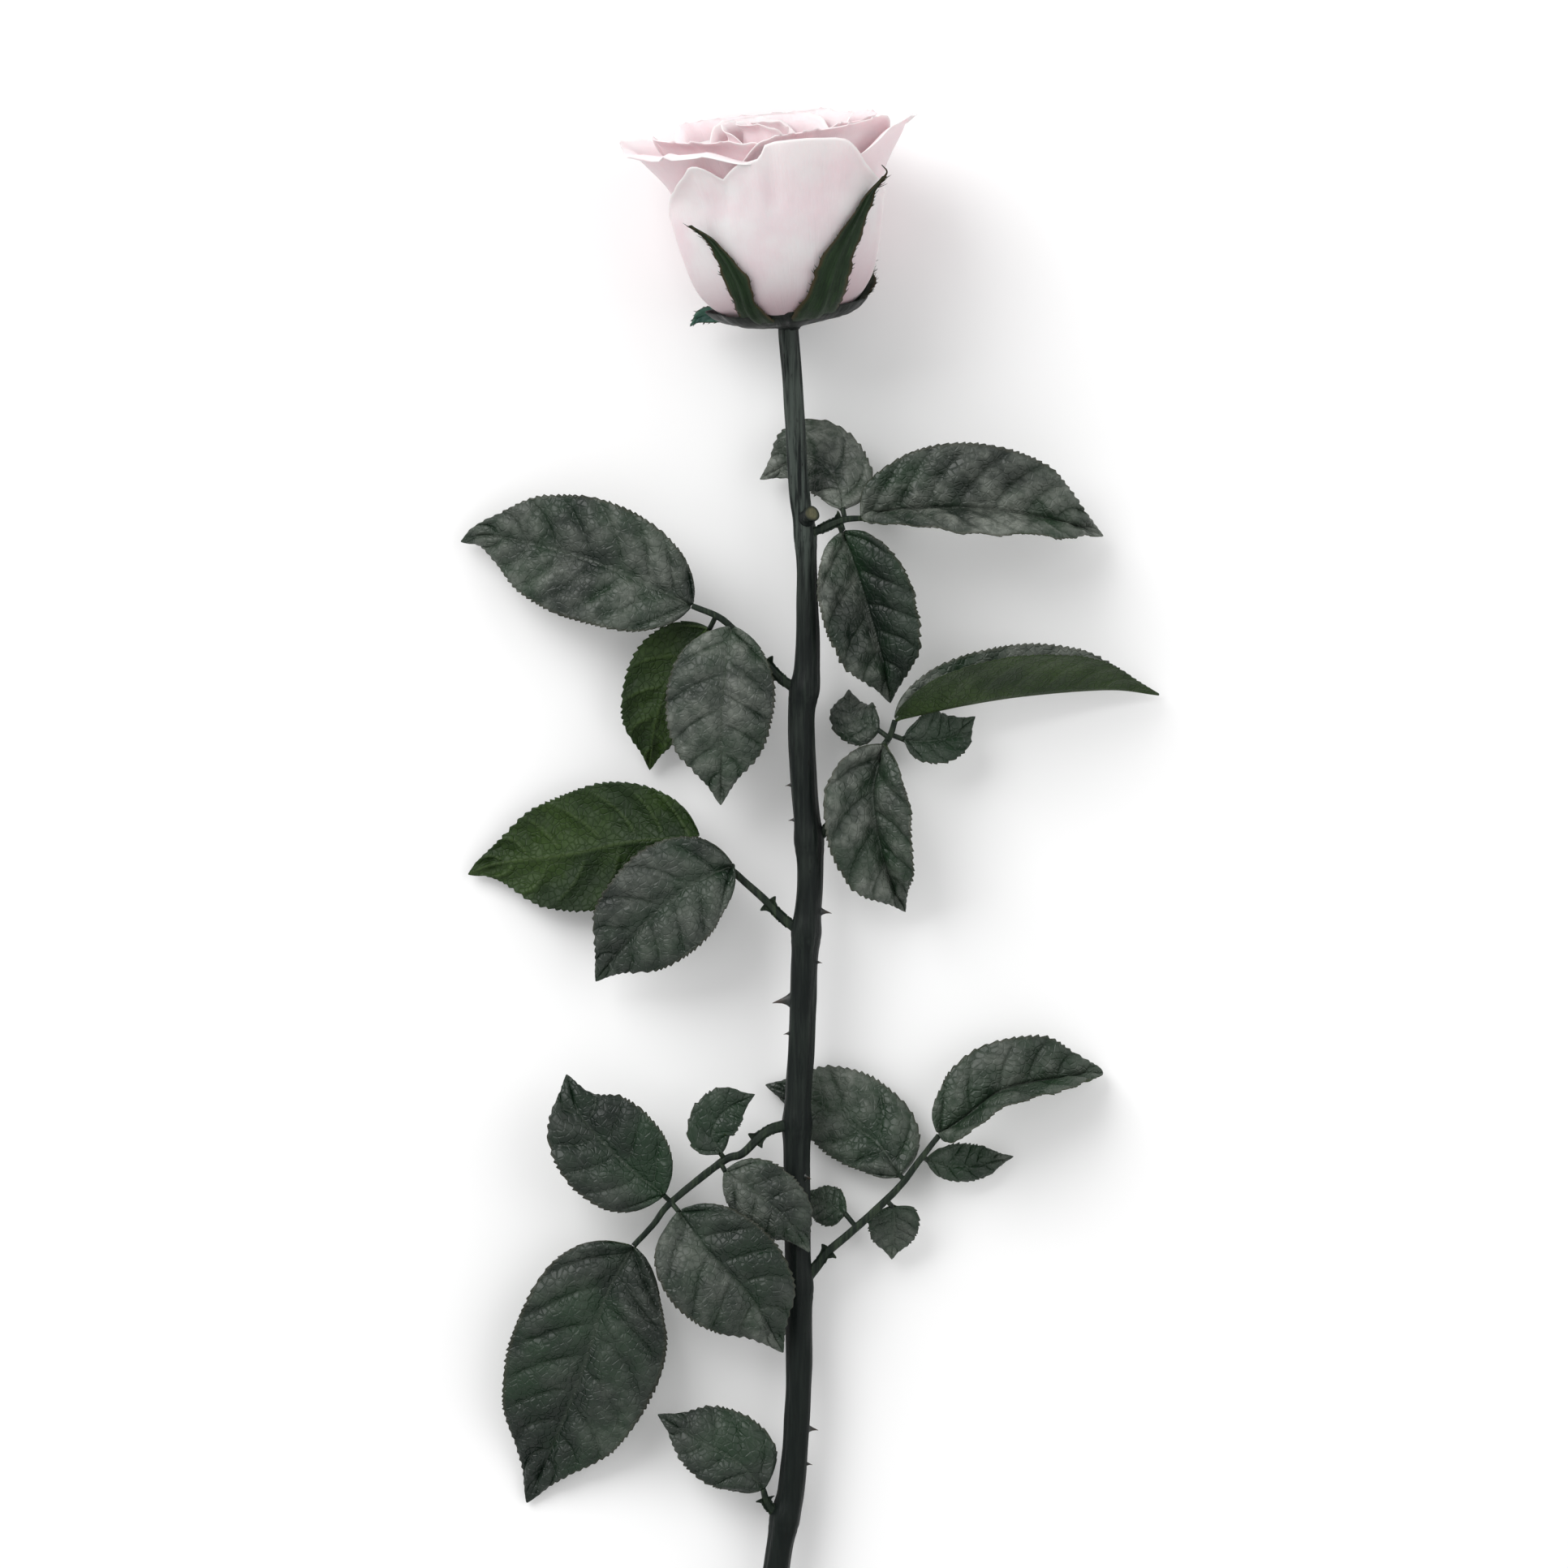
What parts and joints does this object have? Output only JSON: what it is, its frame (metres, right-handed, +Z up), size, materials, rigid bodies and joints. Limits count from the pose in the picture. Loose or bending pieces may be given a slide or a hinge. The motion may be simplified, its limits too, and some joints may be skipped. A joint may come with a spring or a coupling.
{
  "type": "cut rose",
  "caption": "Cut rose lying on a table: a pale pink, half-open bloom on a long thorny stem with dark green serrated leaves.",
  "frame": {"origin": "middle of the footprint, at the height of the surface the rose lies on", "axes": "+Y runs from the cut end of the stem to the bloom, +Z is up off the surface, +X is across, to the right when seen from above with the bloom at the top"},
  "size_m": [0.1558, 0.4026, 0.0542],
  "materials": {
    "petal": "matt, very pale pink, warmer and pinker in the folds",
    "sepal": "matt green with olive edges",
    "receptacle": "smooth matt green",
    "stem": "dark green, satin, finely ridged",
    "leaf_stalk": "dark green, satin",
    "leaf_blade": "dark green, waxy on top with raised quilting, paler and matt beneath"
  },
  "bodies": {
    "root": {"stem": "stem", "receptacle": "receptacle", "sepal_upper_left": "sepal", "sepal_upper_right": "sepal", "sepal_right": "sepal", "sepal_under": "sepal", "sepal_bent_back": "sepal", "petal_01": "petal", "petal_02": "petal", "petal_03": "petal", "petal_04": "petal", "petal_05": "petal", "petal_06": "petal", "petal_07": "petal", "petal_08": "petal", "petal_09": "petal", "petal_10": "petal", "petal_11": "petal", "petal_12": "petal", "petal_13": "petal", "petal_14": "petal", "petal_15": "petal", "petal_16": "petal", "petal_17": "petal", "petal_18": "petal", "petal_19": "petal", "petal_20": "petal", "petal_21": "petal", "petal_22": "petal", "petal_23": "petal", "leaf_1_stalk": "leaf_stalk", "leaf_1_end": "leaf_blade", "leaf_1_back": "leaf_blade", "leaf_1_front": "leaf_blade", "leaf_2_stalk": "leaf_stalk", "leaf_2_end": "leaf_blade", "leaf_2_front": "leaf_blade", "leaf_2_back": "leaf_blade", "leaf_3_stalk": "leaf_stalk", "leaf_3_end": "leaf_blade", "leaf_3_left": "leaf_blade", "leaf_3_right": "leaf_blade", "leaf_3_front": "leaf_blade", "leaf_4_stalk": "leaf_stalk", "leaf_4_end": "leaf_blade", "leaf_4_front": "leaf_blade", "leaf_5_stalk": "leaf_stalk", "leaf_5_end": "leaf_blade", "leaf_5_left": "leaf_blade", "leaf_5_right": "leaf_blade", "leaf_5_near_right": "leaf_blade", "leaf_5_near_left": "leaf_blade", "leaf_6_stalk": "leaf_stalk", "leaf_6_end": "leaf_blade", "leaf_6_left": "leaf_blade", "leaf_6_right": "leaf_blade", "leaf_6_near_right": "leaf_blade", "leaf_6_near_left": "leaf_blade", "leaf_7_stalk": "leaf_stalk", "leaf_7_end": "leaf_blade"}
  },
  "joints": []
}
